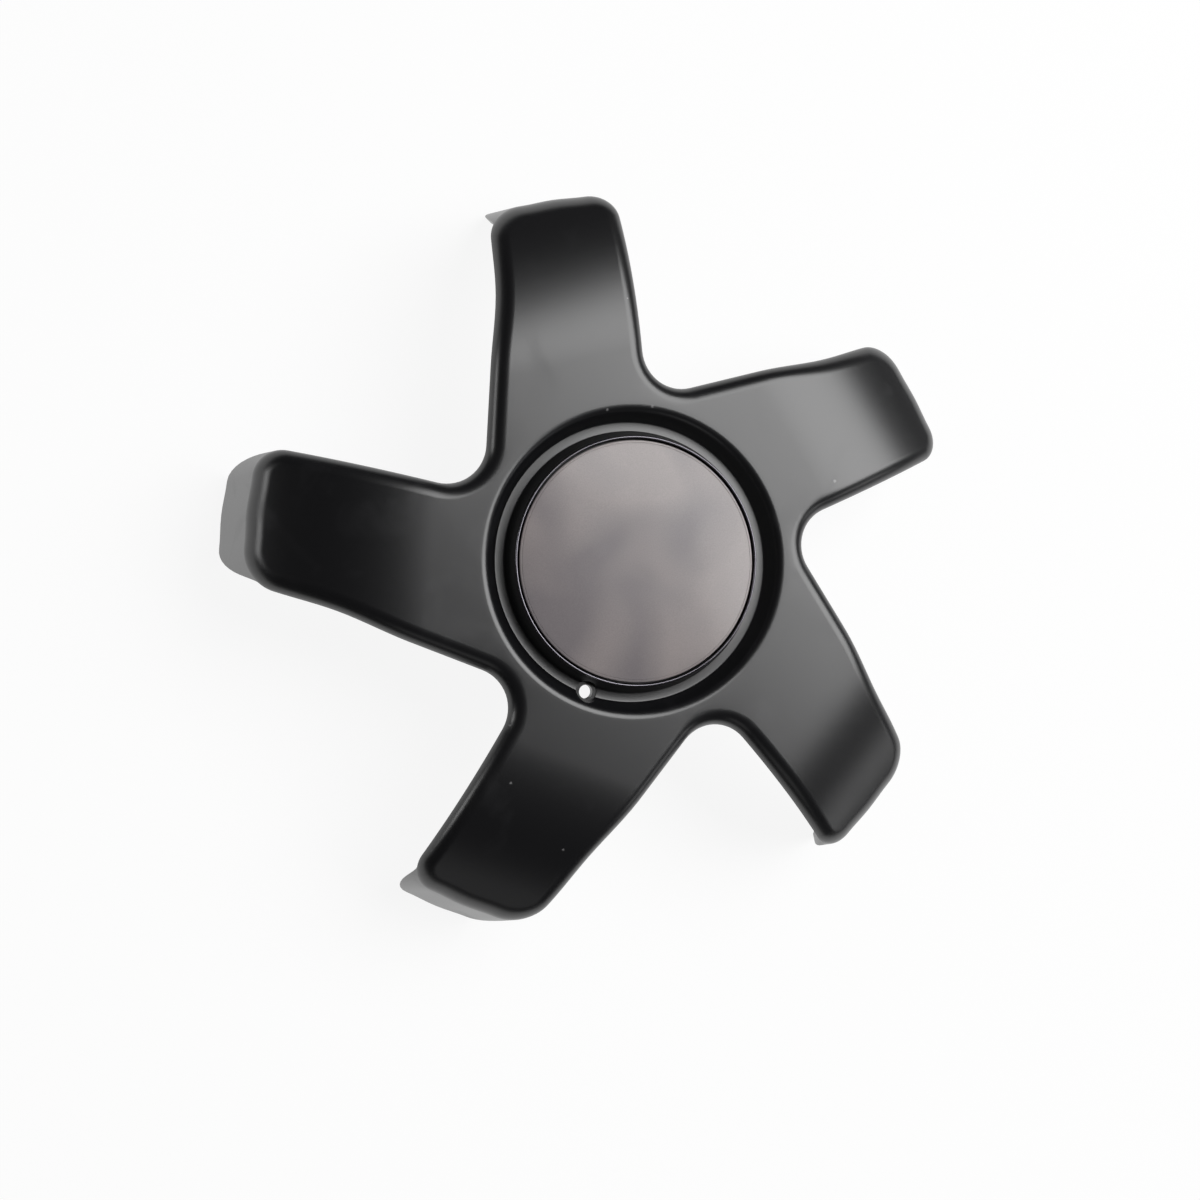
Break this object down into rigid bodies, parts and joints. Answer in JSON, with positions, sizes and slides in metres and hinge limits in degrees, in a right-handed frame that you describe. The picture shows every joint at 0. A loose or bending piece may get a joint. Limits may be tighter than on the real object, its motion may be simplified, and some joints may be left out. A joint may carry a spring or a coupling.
{
  "type": "wheel centre cap",
  "caption": "Star-shaped snap-in cap for the middle of a car wheel, with swept arms that bend down over the bolts and a bare disc in a round drum.",
  "frame": {"origin": "centre of the pilot on the wheel's axis, at the flat shoulder that seats round the wheel's bore", "axes": "+Z along the wheel's axis and outboard, out of the cap's visible face; +Y along the first arm; the pilot and clip legs point along -Z"},
  "size_m": [0.1798, 0.1729, 0.0432],
  "materials": {
    "satin_black": "satin black moulded plastic",
    "polished_disc": "polished, faintly warm grey",
    "adhesive_foam": "foam with adhesive on both sides",
    "spring_wire": "drawn spring steel wire"
  },
  "bodies": {
    "root": {"star_cover": "satin_black", "centre_emblem": "polished_disc", "emblem_pad": "adhesive_foam", "spring_ring": "spring_wire"}
  },
  "joints": []
}
